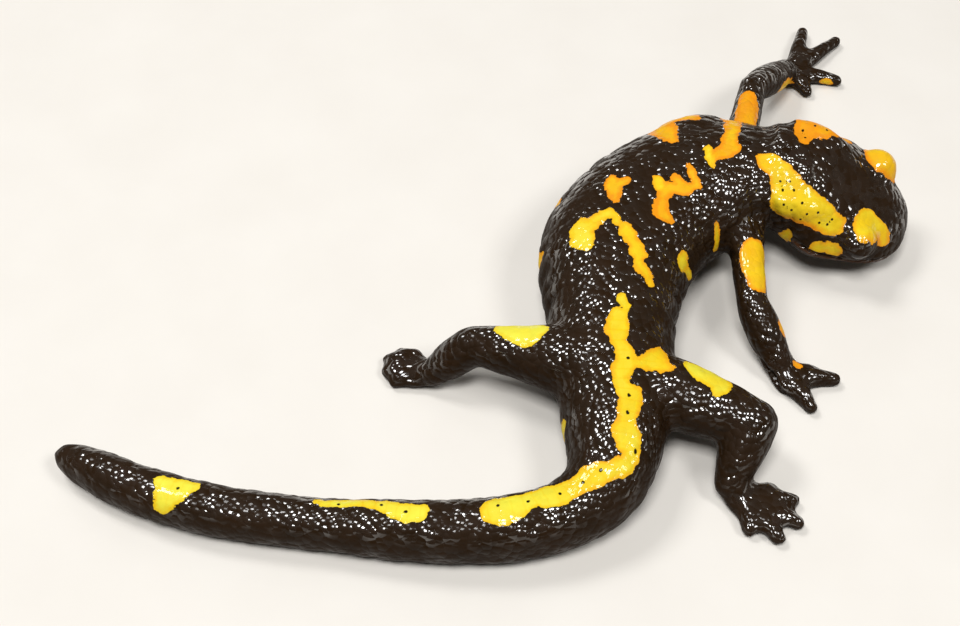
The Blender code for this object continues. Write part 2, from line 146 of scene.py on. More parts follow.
# distance along the body, way round it from the back in mm and in radians, and share of its own girth
def bodyPlaces(points):
    distance, place, height, heading = axisStations()
    nearest = np.empty(len(points), int)
    for start in range(0, len(points), body["chunk"]):
        part = slice(start, start + body["chunk"])
        nearest[part] = ((points[part, None, :2] - place) ** 2).sum(2).argmin(1)
    left = np.stack([-np.sin(heading), np.cos(heading)], 1)[nearest]
    girth = readGirth(distance[nearest])
    out = ((points[:, :2] - place[nearest]) * left).sum(1) / girth[:, 0]
    up = points[:, 2] - height[nearest]
    up = up / np.where(up > 0, girth[:, 1], girth[:, 2])
    around = np.arctan2(out, up)
    way = around * (girth[:, 0] + girth[:, 1]) / 2
    return np.stack([distance[nearest], way], 1), around, np.hypot(out, up)


# distance behind the snout tip and way round the head from its top in mm, and plain places in the head
def headPlaces(points):
    matrix = np.array(headMatrix().inverted())
    own = points @ matrix[:3, :3].T + matrix[:3, 3]
    own[:, 0] *= -1
    around = np.arctan2(own[:, 1], own[:, 2] - head["axisHeight"])
    return np.stack([own[:, 0], around * head["radius"]], 1), own


# distance along a bone and way round it from its top in mm, and whether the point is on its skin
def bonePlaces(points, name):
    start, end, reach = limbBones[name]
    start, along = np.array(start), np.array(end) - np.array(start)
    length = np.linalg.norm(along)
    along /= length
    up = np.array([0, 0, 1.0]) - along * along[2]
    up /= np.linalg.norm(up)
    own = points - start
    run, out, rise = own @ along, own @ np.cross(up, along), own @ up
    radius = np.hypot(out, rise)
    near = (radius < reach) & (run > -boneOverrun) & (run < length + boneOverrun)
    return np.stack([run, np.arctan2(out, rise) * radius], 1), near


def hexColour(value, alpha=1.0):  # sRGB hex to linear
    parts = [int(value[i : i + 2], 16) / 255 for i in (1, 3, 5)]
    linear = [c / 12.92 if c <= 0.04045 else ((c + 0.055) / 1.055) ** 2.4 for c in parts]
    return (*linear, alpha)


def addNode(tree, kind, inputs=None, output=0, **settings):  # sets or links the inputs, gives one output
    node = tree.nodes.new(kind)
    for key, value in settings.items():
        setattr(node, key, value)
    for key, value in (inputs or {}).items():
        if isinstance(value, bpy.types.NodeSocket):
            tree.links.new(value, node.inputs[key])
        else:
            node.inputs[key].default_value = value
    return node.outputs[output] if node.outputs else node


def newMaterial(name):
    material = bpy.data.materials.new(name)
    material.use_nodes = True
    material.node_tree.nodes.clear()
    return material, material.node_tree


def deselectAll():
    if bpy.context.mode != "OBJECT":
        bpy.ops.object.mode_set(mode="OBJECT")
    bpy.ops.object.select_all(action="DESELECT")


def makeActive(piece):
    deselectAll()
    piece.select_set(True)
    bpy.context.view_layer.objects.active = piece


def applyModifier(piece, kind, **values):
    makeActive(piece)
    modifier = piece.modifiers.new(kind.title(), kind)
    for key, value in values.items():
        setattr(modifier, key, value)
    bpy.ops.object.modifier_apply(modifier=modifier.name)


def readPoints(piece):  # vertex places in the layout, in mm
    points = np.empty(len(piece.data.vertices) * 3)
    piece.data.vertices.foreach_get("co", points)
    return points.reshape(-1, 3) / mm + np.array(layoutShift)


def readNormals(piece):
    normals = np.empty(len(piece.data.vertices) * 3)
    piece.data.vertices.foreach_get("normal", normals)
    return normals.reshape(-1, 3)


def writePoints(piece, points):
    piece.data.vertices.foreach_set("co", ((points - np.array(layoutShift)) * mm).ravel())
    piece.data.update()


def writeAttribute(piece, name, values):
    kind, key = ("FLOAT", "value") if values.ndim == 1 else ("FLOAT_VECTOR", "vector")
    layer = piece.data.attributes.new(name, kind, "POINT")
    layer.data.foreach_set(key, values.astype(np.float32).ravel())


def ramp(values, low, high):  # 0 to 1, eased
    t = np.clip((values - low) / (high - low), 0, 1)
    return t * t * (3 - 2 * t)


def bump(values, middle, width):
    return np.exp(-(((values - middle) / width) ** 2))


# The skin is one closed hide over the whole animal, fused from copies of its solids. Lengths are in mm.
skin = {
    "voxel": 0.46,
    "swell": 0.3,  # closes the cuts between the solids
    "weld": 0.01,
    "smooth": 0.5,  # share of the way to the neighbours' middle that each round moves a point
    "smoothRounds": 7,
    "fineHead": {"length": 21.0, "halfWidth": 11.0, "under": 7.0, "roundness": 0.6},  # where faces are halved
    "bodyFade": (1.15, 1.35),  # share of the girth over which the body's folds fade out
    "headFade": (20, 24),  # behind the snout tip
    "costal": {"first": 13.0, "step": 2.9, "count": 12, "width": 0.55, "depth": 0.4},
    "costalSides": (40, 75, 125, 150),  # degrees from the back: start, full, fade and end
    "tailRings": {"first": 63.0, "step": 2.6, "count": 34, "width": 0.5, "depth": 0.1},
    "tailSides": (15, 60),
    "neckFolds": [(-1.6, 0.5, 0.35), (1.4, 0.6, 0.3), (4.2, 0.5, 0.25)],  # distance, width, depth
    "neckSides": (55, 85),
    "neckWave": 0.5,
    "mouth": {"back": 17.5, "rise": 0.45, "curve": 0.35, "width": 0.3, "depth": 0.75, "cornerFade": 1.5},
    "lips": {"height": 0.2, "upper": (0.75, 0.4), "lower": (0.6, 0.3)},  # pairs: from the mouth line, width
    "nostril": {"place": (1.3, 2.7, 1.7), "radius": 0.42, "depth": 0.45},
    # edges of the lids are heights over the middle of the eye, and their slit keeps its sharp edge
    "lids": {"radius": 3.05, "upper": 0.1, "lower": -1.1, "segments": 32, "rings": 20},
    "lidMelt": {"reach": 5.0, "rounds": 26, "front": 0.8, "slit": 0.5},
    "lidRim": {"height": 0.08, "width": 0.3, "reach": 3.6, "front": 0.5},
    "lumps": [(2.6, 0.14), (1.3, 0.04)],  # size, height
    "calmHead": 0.5,  # share of the lumps that the head is without
    "overFloor": 0.02,
}


def eyeMatrix(side):
    forward, up = (math.radians(angle) for angle in head["eyeTurn"])
    turn = Matrix.Rotation(side * (math.radians(90) - forward), 4, "Z") @ Matrix.Rotation(-up, 4, "Y")
    out = headMatrix() @ Matrix.Translation((-head["eye"][0], side * head["eye"][1], head["eye"][2]))
    return out @ turn


def eyePlaces(points, side):  # X along the line of sight from the middle of the eye, Z up the lids
    inverse = np.array(eyeMatrix(side).inverted())
    return points @ inverse[:3, :3].T + inverse[:3, 3]


def makeLid(side, edge, way):  # a cap of a ball round the eye, above or below the edge of the lid
    matrix = eyeMatrix(side)
    centre = (matrix.translation - layoutShift) * mm
    up = matrix.to_3x3() @ Vector((0, 0, 1))
    deselectAll()
    bpy.ops.mesh.primitive_uv_sphere_add(
        segments=skin["lids"]["segments"], ring_count=skin["lids"]["rings"],
        radius=skin["lids"]["radius"] * mm, location=centre,
    )
    lid = bpy.context.active_object
    bpy.ops.object.transform_apply(location=True, rotation=True, scale=True)
    bpy.ops.object.mode_set(mode="EDIT")
    bpy.ops.mesh.select_all(action="SELECT")
    bpy.ops.mesh.bisect(
        plane_co=centre + up * edge * mm, plane_no=up * way,
        use_fill=True, clear_inner=True, clear_outer=False,
    )
    bpy.ops.mesh.select_all(action="SELECT")
    bpy.ops.mesh.normals_make_consistent(inside=False)
    bpy.ops.object.mode_set(mode="OBJECT")
    return lid


def joinedCopies(names, title):
    edges = ((skin["lids"]["upper"], 1), (skin["lids"]["lower"], -1))
    copies = [makeLid(side, edge, way) for side in (1, -1) for edge, way in edges]
    deselectAll()
    for lid in copies:
        lid.select_set(True)
    for name in names:
        copy = bpy.data.objects.new(title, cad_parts[name].data.copy())
        bpy.context.scene.collection.objects.link(copy)
        copy.select_set(True)
        copies.append(copy)
    bpy.context.view_layer.objects.active = copies[0]
    bpy.ops.object.join()
    piece = bpy.context.view_layer.objects.active
    piece.name = title
    piece.data.materials.clear()
    bpy.ops.object.mode_set(mode="EDIT")
    bpy.ops.mesh.select_all(action="SELECT")
    bpy.ops.mesh.remove_doubles(threshold=skin["weld"] * mm)
    bpy.ops.object.mode_set(mode="OBJECT")
    return piece


def keepLargest(piece):  # drops the closed bubbles that the fused surface has inside
    makeActive(piece)
    bpy.ops.object.mode_set(mode="EDIT")
    bpy.ops.mesh.separate(type="LOOSE")
    bpy.ops.object.mode_set(mode="OBJECT")
    parts = sorted(bpy.context.selected_objects, key=lambda o: len(o.data.vertices))
    for small in parts[:-1]:
        bpy.data.objects.remove(small)
    return parts[-1]


def refine(piece, chosen):  # halves the chosen faces
    makeActive(piece)
    bpy.ops.object.mode_set(mode="EDIT")
    bpy.ops.mesh.select_all(action="DESELECT")
    bpy.ops.object.mode_set(mode="OBJECT")
    piece.data.polygons.foreach_set("select", chosen)
    bpy.ops.object.mode_set(mode="EDIT")
    bpy.ops.mesh.subdivide(number_cuts=1, smoothness=skin["fineHead"]["roundness"])
    bpy.ops.object.mode_set(mode="OBJECT")


def fusedHide():
    names = [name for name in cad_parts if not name.startswith("eye")]
    piece = joinedCopies(names, "skin")
    applyModifier(piece, "DISPLACE", strength=skin["swell"] * mm, mid_level=0.0)
    applyModifier(piece, "REMESH", mode="VOXEL", voxel_size=skin["voxel"] * mm)
    piece = keepLargest(piece)
    piece.name = "skin"
    applyModifier(piece, "DISPLACE", strength=-skin["swell"] * mm, mid_level=0.0)
    applyModifier(piece, "SMOOTH", factor=skin["smooth"], iterations=skin["smoothRounds"])
    centres = np.empty(len(piece.data.polygons) * 3)
    piece.data.polygons.foreach_get("center", centres)
    centres = centres.reshape(-1, 3) / mm + np.array(layoutShift)
    back, out, up = headPlaces(centres)[1].T
    fine = skin["fineHead"]
    refine(piece, (back < fine["length"]) & (np.abs(out) < fine["halfWidth"]) & (up > -fine["under"]))
    softenLids(piece)
    return piece


def mouthLine(own):  # its height at every place of the head
    mouth = skin["mouth"]
    return mouth["rise"] + mouth["curve"] * np.sin(own[:, 0] / mouth["back"] * math.pi)


def softenLids(piece):  # melts the lids into the brow and the cheek
    points, melt = readPoints(piece), skin["lidMelt"]
    chosen = np.zeros(len(points), bool)
    for side in (1, -1):
        eyeOwn = eyePlaces(points, side)
        overEdge = np.abs(eyeOwn[:, 2] - skin["lids"]["upper"])
        inSlit = (eyeOwn[:, 0] > melt["front"]) & (overEdge < melt["slit"])
        chosen |= (np.linalg.norm(eyeOwn, axis=1) < melt["reach"]) & ~inSlit
    makeActive(piece)
    bpy.ops.object.mode_set(mode="EDIT")
    bpy.ops.mesh.select_all(action="DESELECT")
    bpy.ops.mesh.select_mode(type="VERT")
    bpy.ops.object.mode_set(mode="OBJECT")
    piece.data.vertices.foreach_set("select", chosen)
    bpy.ops.object.mode_set(mode="EDIT")
    bpy.ops.mesh.vertices_smooth(factor=skin["smooth"], repeat=melt["rounds"])
    bpy.ops.mesh.select_mode(type="FACE")
    bpy.ops.object.mode_set(mode="OBJECT")


# folds, grooves, lips, lids, nostrils and lumps, as moves along the surface's own normals
def sculptHide(piece):
    points, normals = readPoints(piece), readNormals(piece)
    place, around, share = bodyPlaces(points)
    headPlace, own = headPlaces(points)
    push = np.zeros(len(points))
    onBody = 1 - ramp(share, *skin["bodyFade"])
    onHead = 1 - ramp(headPlace[:, 0], *skin["headFade"])
    trunk = onBody * (1 - onHead)
    side = np.degrees(np.abs(around))
    flank = ramp(side, *skin["costalSides"][:2]) * (1 - ramp(side, *skin["costalSides"][2:]))
    lean = 0.9 * np.sin(around * 2 + 0.4) + 0.5 * np.sin(place[:, 0] * 0.9)  # the rows waver, as in life
    for rows, mask in ((skin["costal"], flank), (skin["tailRings"], ramp(side, *skin["tailSides"]))):
        for i in range(rows["count"]):
            middle = rows["first"] + i * rows["step"]
            push -= trunk * mask * rows["depth"] * bump(place[:, 0] + lean, middle, rows["width"])
    for middle, width, depth in skin["neckFolds"]:
        wave = place[:, 0] + skin["neckWave"] * np.sin(3 * around)
        push -= onBody * ramp(side, *skin["neckSides"]) * depth * bump(wave, middle, width)
    mouth, lips = skin["mouth"], skin["lips"]
    line = mouthLine(own)
    inMouth = 1 - ramp(own[:, 0], mouth["back"] - mouth["cornerFade"], mouth["back"])
    push -= inMouth * mouth["depth"] * bump(own[:, 2], line, mouth["width"])
    upperLip = bump(own[:, 2], line + lips["upper"][0], lips["upper"][1])
    lowerLip = bump(own[:, 2], line - lips["lower"][0], lips["lower"][1])
    push += inMouth * lips["height"] * (upperLip + lowerLip)
    for way in (1, -1):
        back, out, rise = skin["nostril"]["place"]
        gap = np.linalg.norm(own - np.array([back, way * out, rise]), axis=1)
        push -= skin["nostril"]["depth"] * bump(gap, 0, skin["nostril"]["radius"])
        eyeOwn, rim = eyePlaces(points, way), skin["lidRim"]
        onLid = (np.linalg.norm(eyeOwn, axis=1) < rim["reach"]) & (eyeOwn[:, 0] > rim["front"])
        for edge in (skin["lids"]["upper"] + rim["width"], skin["lids"]["lower"] - rim["width"]):
            push += onLid * rim["height"] * bump(eyeOwn[:, 2], edge, rim["width"])
    rough = 1 - skin["calmHead"] * onHead
    for size, height in skin["lumps"]:
        push += rough * height * np.array([noise.noise(Vector(p) / size) for p in points])
    points += normals * push[:, None]
    points[:, 2] = np.maximum(points[:, 2], skin["overFloor"])
    writePoints(piece, points)


# The markings are strokes of changing width in the animal's own measures, in mm.
bodyMarks = [  # warmth of the yellow, then (distance, way round from the back, half width)
    (0.75, [(6.6, 8.2, 1.1), (7.0, 5.5, 1.0), (7.3, 3.2, 0.85), (8.2, 1.0, 1.2), (8.8, -0.9, 1.3)]),
    (0.75, [(7.6, -0.6, 0.9), (9.5, -1.2, 1.2), (11.4, -1.2, 0.8)]),
    (0.3, [(12.0, 0.0, 0.65), (12.4, -1.5, 0.8), (12.7, -2.6, 0.5)]),
    (0.8, [(14.6, 8.8, 1.5), (13.0, 8.6, 1.3), (11.5, 7.8, 1.2), (10.9, 7.0, 0.6)]),
    (0.8, [(15.4, 8.6, 0.9), (15.1, 6.4, 1.4), (15.4, 4.6, 0.9), (15.5, 4.0, 0.6)]),
    (0.8, [(16.5, -1.7, 0.55), (17.0, -3.4, 0.85), (17.3, -4.6, 0.7), (18.4, -4.2, 0.5), (19.4, -4.4, 0.9)]),
    (0.8, [(19.8, -2.4, 0.9), (19.8, -4.4, 0.95), (22.0, -2.7, 1.0), (24.5, -3.0, 0.85), (26.4, -3.7, 0.95),
           (28.1, -4.5, 1.35), (27.7, -5.4, 0.95)]),
    (0.5, [(22.2, -0.8, 0.75), (23.0, -1.8, 1.0)]),
    (0.75, [(25.8, 4.6, 0.6), (26.8, 3.7, 1.1), (28.2, 2.5, 0.9), (29.3, 1.7, 0.4)]),
    (0.75, [(25.4, 2.4, 0.6), (26.6, 3.4, 0.9)]),
    (0.3, [(34.8, 5.0, 1.5), (36.4, 4.6, 1.6), (37.2, 4.0, 1.05)]),
    (0.4, [(34.6, 4.0, 1.0), (33.0, 3.2, 0.8), (31.9, 2.0, 0.75), (32.2, 0.9, 0.6), (33.0, 0.6, 0.5)]),
    (0.5, [(33.4, -0.7, 0.6), (34.7, -1.3, 1.15), (35.9, -1.7, 0.8), (37.1, -2.7, 1.1), (38.3, -2.9, 1.15),
           (39.5, -2.9, 0.7), (40.5, -3.3, 0.95), (41.7, -4.4, 0.75), (43.2, -5.0, 0.4)]),
    (0.45, [(33.2, -10.2, 0.7), (35.5, -10.6, 1.4), (36.4, -10.7, 1.3)]),
    (0.45, [(36.5, -12.8, 0.9), (35.4, -14.6, 1.0)]),
    (0.55, [(17.0, -11.6, 0.8), (17.3, -13.5, 1.2), (17.8, -15.6, 1.3)]),
    (0.5, [(36.3, 13.4, 0.7), (35.8, 15.4, 1.1), (35.4, 17.0, 1.0)]),
    (0.7, [(29.4, 12.9, 0.6), (29.2, 14.0, 0.7)]),
    (0.3, [(64.6, 10.0, 0.7), (64.8, 12.0, 1.2)]),
    (0.2, [(46.6, -0.9, 0.7), (47.8, -1.4, 0.5), (48.4, -1.5, 0.2)]),
    (0.4, [(49.4, -0.4, 1.1), (51.8, 0.0, 1.65), (54.0, -0.2, 1.0), (56.2, -0.9, 1.25), (57.4, -0.8, 1.5),
            (58.6, -0.4, 1.3)]),
    (0.38, [(58.4, -0.4, 1.3), (59.6, 0.0, 0.75), (61.0, -0.5, 1.15), (62.6, -1.5, 1.7), (64.4, -1.5, 1.5),
           (66.2, -1.2, 1.2), (67.6, -1.2, 1.8), (68.6, -1.7, 1.9), (69.8, -2.9, 1.0), (71.4, -2.6, 1.35),
           (72.9, -1.5, 1.15), (74.2, -0.2, 1.6)]),
    (0.4, [(74.2, -0.2, 1.6), (76.0, 0.5, 1.8), (78.3, 0.7, 1.4), (80.0, 0.9, 1.9)]),
    (0.2, [(80.0, 0.9, 1.9), (82.0, 1.2, 2.1), (84.4, 1.6, 1.45), (86.4, 1.0, 1.8), (88.4, 0.3, 2.3),
           (89.6, 0.3, 2.2)]),
    (0.45, [(57.3, -2.2, 0.6), (57.3, -4.0, 0.8), (57.3, -5.7, 0.95)]),
    (0.45, [(57.2, -3.0, 0.7), (55.9, -5.0, 1.1), (54.5, -6.2, 0.75)]),
    (0.45, [(55.8, -5.5, 1.0), (56.7, -5.4, 1.1)]),
    (0.1, [(100.2, 0.5, 1.4), (102.0, 0.3, 1.6), (103.6, 0.7, 1.4), (105.4, 1.6, 0.95), (108.0, 1.9, 0.75),
            (112.0, 1.7, 0.75), (114.4, 1.6, 0.6)]),
    (0.05, [(132.2, 1.2, 0.7), (134.0, 0.2, 1.7), (135.2, -1.4, 1.9), (135.6, -2.6, 1.3)]),
    (0.05, [(134.6, 0.4, 1.4), (136.2, 0.2, 1.3), (137.0, 0.6, 1.0)]),
]
headMarks = [  # warmth, then (behind the snout tip, way round from the top, half width)
    (0.6, [(4.1, -10.3, 0.75), (4.6, -8.9, 1.0), (5.6, -7.6, 1.3)]),
    (0.45, [(5.6, -7.6, 1.3), (7.0, -6.8, 1.7), (8.5, -6.3, 2.05), (9.3, -7.3, 1.7)]),
    (0.45, [(8.5, -4.8, 0.85), (8.7, -6.2, 1.7)]),
    (0.45, [(13.6, -9.1, 1.55), (16.0, -8.6, 2.05), (18.2, -8.3, 2.5)]),
    (0.42, [(18.2, -8.3, 2.5), (20.4, -8.4, 3.2), (21.6, -8.6, 3.2), (22.2, -10.4, 1.5)]),
    (0.55, [(21.6, -8.2, 3.2), (23.2, -6.5, 2.7), (24.8, -4.9, 2.1), (26.6, -4.3, 2.4)]),
    # a warmer orange strip along the gland's lower outer side: partly its own orange edge, partly painted
    # shade on that lower side
    (0.8, [(14.6, -10.2, 0.5), (18.2, -10.3, 0.7), (21.2, -11.0, 0.7)]),
    (0.7, [(6.2, -8.3, 0.5), (8.2, -8.1, 0.6), (9.2, -8.4, 0.6)]),
    (0.95, [(18.9, 9.4, 1.7), (20.5, 9.3, 2.6), (21.9, 9.2, 2.4), (22.9, 8.4, 1.6)]),
    (0.95, [(22.4, 8.4, 2.0), (23.0, 6.4, 1.4), (22.9, 4.7, 0.75)]),
    (0.9, [(20.0, 9.0, 1.6), (18.2, 9.4, 1.3), (16.6, 9.9, 1.1), (15.2, 10.4, 0.8)]),
    (0.5, [(10.9, -12.5, 0.95), (12.6, -12.3, 0.85), (13.8, -12.8, 1.0), (14.3, -13.0, 0.85)]),
    (0.5, [(18.6, -14.0, 0.6), (18.7, -15.5, 0.85), (18.4, -16.8, 0.8)]),
]
limbMarks = {  # warmth, then (along the bone, way round from its top, half width)
    "upperArmRight": [(0.6, [(6.7, 0.5, 2.0), (7.4, 0.9, 2.6), (10.0, 0.9, 2.4), (12.5, 0.9, 1.7)])],
    "forearmRight": [(0.8, [(4.9, 2.6, 1.0), (5.6, 2.8, 1.1), (5.2, 4.0, 1.1)])],
    "palmRight": [(0.8, [(2.4, 1.3, 0.5), (3.0, 1.8, 0.45)])],
    "upperArmLeft": [(0.95, [(4.5, -0.3, 1.9), (7.5, -0.1, 2.0), (9.8, 0.2, 1.8), (11.4, 0.6, 1.4)])],
    "forearmLeft": [(0.6, [(7.6, -4.9, 1.2), (9.5, -4.6, 1.2), (11.8, -4.9, 1.4), (13.2, -5.8, 1.3)])],
    "thighLeft": [(0.05, [(12.6, -0.9, 0.4), (11.4, -1.6, 1.6), (10.0, -1.4, 2.3), (8.2, -1.0, 2.7),
                         (6.6, -1.6, 1.7), (5.8, -1.7, 0.9)])],
    "thighRight": [(0.22, [(4.9, 3.0, 1.0), (5.8, 2.6, 1.8), (7.5, 2.3, 2.2), (9.2, 2.0, 2.1),
                           (9.9, 1.0, 1.4), (9.6, -0.2, 0.8)])],
}
leftLidMark = (0.7, [(7.2, 7.8, 5.0, 2.9), (9.0, 7.8, 5.0, 2.9)])  # in the head, round the whole lid
fingerMark = (0.6, [(63.0, 52.8, 1.2, 0.7), (63.9, 52.6, 1.2, 0.7)])  # on the second finger of the left hand
markSwell = 0.12  # mm that every marking grows by
markFar = {"stroke": 9.0, "skin": 6.0}  # mm, more than any marking reaches
warmthBlend = 0.8  # mm over which two yellows that meet turn into each other
pores = {
    "back": [(56.7, -1.3), (62.6, -1.4), (65.2, -1.3), (69.8, -3.2), (74.0, -0.1), (76.8, 0.5), (80.4, 0.9),
             (85.0, 1.1), (89.2, 1.1), (102.0, 0.4), (105.5, 1.6), (111.5, 1.5), (134.2, 0.2)],
    "gland": [(14.4, -8.6), (14.7, -9.5), (16.0, -9.7), (17.1, -8.3), (18.6, -9.1), (20.1, -8.0),
              (21.0, -9.6), (21.9, -7.1), (22.5, -9.4), (23.0, -6.1), (23.5, -7.9), (24.3, -6.9),
              (18.9, -10.4), (19.6, 8.2), (20.4, 9.4), (21.6, 8.3), (22.8, 9.6), (23.2, 7.6), (22.6, 6.2)],
    "reach": (0.75, 0.5),  # mm round a pore of the back and of a gland that know of it
    "glandShrink": 1.25,  # how much smaller the pores of the glands are
}
surfaceZones = {  # where the skin is smooth, coarse, wet or ribbed, and where a painted highlight pales the jaw under the mouth, in mm unless a note says otherwise
    "headTop": {"side": (3, 8), "back": (15, 20), "smooth": 0.7},
    "tail": {"distance": (95, 150), "smooth": 0.35},
    "neck": {"middle": 4, "width": 9, "coarse": 0.5, "wet": 2.0},
    "ribs": {"distance": (45, 52), "side": (4, 6)},
    "hands": {"share": (1.4, 2.4), "height": (3, 5), "wet": 1.5},  # share of the body's girth
    "leftFlank": {"middle": 24, "width": 5, "side": (5, 9)},
    "facingUp": (0.3, 0.8),  # upward part of the normal, where water stays
    # a paler brown band just under the mouth line, a painted highlight along the edge of the jaw
    "paintedLipHighlight": {"under": 0.7, "width": 0.45, "paleness": 0.8},
}


def strokeField(places, stroke):  # distance to the edge of a stroke, less than nothing inside
    field = np.full(len(places), markFar["stroke"])
    for near, far in zip(stroke, stroke[1:]):
        start, run = np.array(near[:-1]), np.subtract(far[:-1], near[:-1])
        t = np.clip((places - start) @ run / (run @ run), 0, 1)
        gap = np.linalg.norm(places - start - t[:, None] * run, axis=1)
        field = np.minimum(field, gap - near[-1] - t * (far[-1] - near[-1]))
    return field


def nearestPore(places, centres, reach):  # way from the nearest pore, and 1 close to it
    away = places[:, None, :2] - np.array(centres)
    nearest = (away**2).sum(2).argmin(1)
    away = away[np.arange(len(places)), nearest]
    return away, (np.hypot(away[:, 0], away[:, 1]) < reach).astype(float)


def markHide(piece):  # per-vertex values that the skin's material reads
    points = readPoints(piece)
    place, around, share = bodyPlaces(points)
    headPlace, own = headPlaces(points)
    headReach = np.hypot(own[:, 1], own[:, 2] - head["axisHeight"])
    onBody = (share < body["reach"]) & (place[:, 0] > body["from"])
    onHead = (headPlace[:, 0] < head["length"]) & (headReach < head["reach"]) & (place[:, 0] < head["until"])
    layers = [(mark, place, onBody) for mark in bodyMarks] + [(mark, headPlace, onHead) for mark in headMarks]
    for name, marks in limbMarks.items():
        bonePlace, near = bonePlaces(points, name)
        layers += [(mark, bonePlace, near) for mark in marks]
    layers.append((fingerMark, points, np.ones(len(points), bool)))
    layers.append((leftLidMark, own, own[:, 0] < head["length"]))
    field, warmth = np.full(len(points), markFar["skin"]), np.zeros(len(points))
    for (warm, stroke), places, chosen in layers:
        found = np.where(chosen, strokeField(places, stroke), markFar["skin"])
        closer = ramp(field - found, -warmthBlend, warmthBlend)
        warmth += (warm - warmth) * closer
        field = np.minimum(field, found)
    writeAttribute(piece, "marking", field - markSwell)
    writeAttribute(piece, "warmth", warmth)
    backAway, backNear = nearestPore(place, pores["back"], pores["reach"][0])
    glandAway, glandNear = nearestPore(headPlace, pores["gland"], pores["reach"][1])
    away = np.where(onHead[:, None], glandAway * pores["glandShrink"], backAway)
    writeAttribute(piece, "poreAway", np.column_stack([away, np.zeros(len(points))]))
    writeAttribute(piece, "poreNear", np.where(onHead, glandNear, backNear * onBody))
    zones, side = surfaceZones, np.abs(place[:, 1])
    top, neck, ribs, hands, flank = (zones[key] for key in ("headTop", "neck", "ribs", "hands", "leftFlank"))
    headTop = (1 - ramp(np.abs(headPlace[:, 1]), *top["side"])) * (1 - ramp(headPlace[:, 0], *top["back"]))
    tail = ramp(place[:, 0], *zones["tail"]["distance"]) * (share < body["reach"])
    onNeck = bump(place[:, 0], neck["middle"], neck["width"])
    smooth = np.maximum(top["smooth"] * onHead * headTop, zones["tail"]["smooth"] * tail)
    writeAttribute(piece, "grain", (1 - smooth) * (1 + neck["coarse"] * onNeck))
    writeAttribute(piece, "ribPlace", np.column_stack([place, np.zeros(len(points))]))
    ribbed = onBody * ramp(place[:, 0], *ribs["distance"]) * (1 - ramp(side, *ribs["side"]))
    writeAttribute(piece, "ribbed", ribbed)
    onHand = ramp(share, *hands["share"]) * ~onHead * (1 - ramp(points[:, 2], *hands["height"]))
    onFlank = bump(place[:, 0], flank["middle"], flank["width"]) * ramp(place[:, 1], *flank["side"])
    wetter = 1 + hands["wet"] * onHand + neck["wet"] * onNeck + onFlank
    writeAttribute(piece, "film", ramp(readNormals(piece)[:, 2], *zones["facingUp"]) * wetter)
    # painted highlight: a paler band along the jaw's edge just under the mouth line
    paintedLipHighlight = bump(own[:, 2], mouthLine(own) - zones["paintedLipHighlight"]["under"], zones["paintedLipHighlight"]["width"])
    paintedLipHighlight *= onHead * (own[:, 0] < skin["mouth"]["back"])
    writeAttribute(piece, "paintedLipHighlight", zones["paintedLipHighlight"]["paleness"] * paintedLipHighlight)


skinLook = {  # lengths in mm
    "black": "#1f1408",
    "brown": "#2c1c0d",
    # paler brown of the painted highlight along the jaw under the mouth
    "paintedLipHighlight": "#54331c",
    "lemon": "#e8e246",
    "yellow": "#e8c51e",
    "orange": "#e99214",
    "pore": "#1c1006",
    "warmthOfYellow": 0.5,  # warmth at which lemon has turned yellow
    "warmthOfOrange": 1.05,
    "poreRadius": (0.17, 0.27),  # of the dark middle and of its soft edge
    "edgeNoise": 1.5,  # across
    "edgeWander": 0.34,  # that the edge of a marking strays
    "edgeSoft": 0.05,
    "rim": 0.8,  # of warmer yellow inside the edge
    "rimWarmth": 0.42,
    "mottle": 4.0,  # across
    "mottleWarmth": 0.12,
    "ribStep": 1.6,  # between the faint cross ribs of the stripe
    "ribWarmth": 0.1,
    "granule": 1.12,  # across
    "granuleHeight": 0.3,
    "granuleEdge": 0.9,  # squared distance from its middle at which a granule has fallen away
    "dullGranules": (0.25, 0.4),  # share that hardly glints, and share up to which some glint less
    "dullGlint": 0.12,
    "wetPatch": 3.4,  # across
    "wetNoise": (0.38, 0.6),  # from dry to wet
    "wetCoat": (0.15, 1.0),
    "wetRoughness": (0.6, 0.35),
    "dryRelief": 0.75,
    "yellowRelief": 0.35,  # yellow skin is smoother and drier than black skin
    "yellowCoat": 0.42,
}


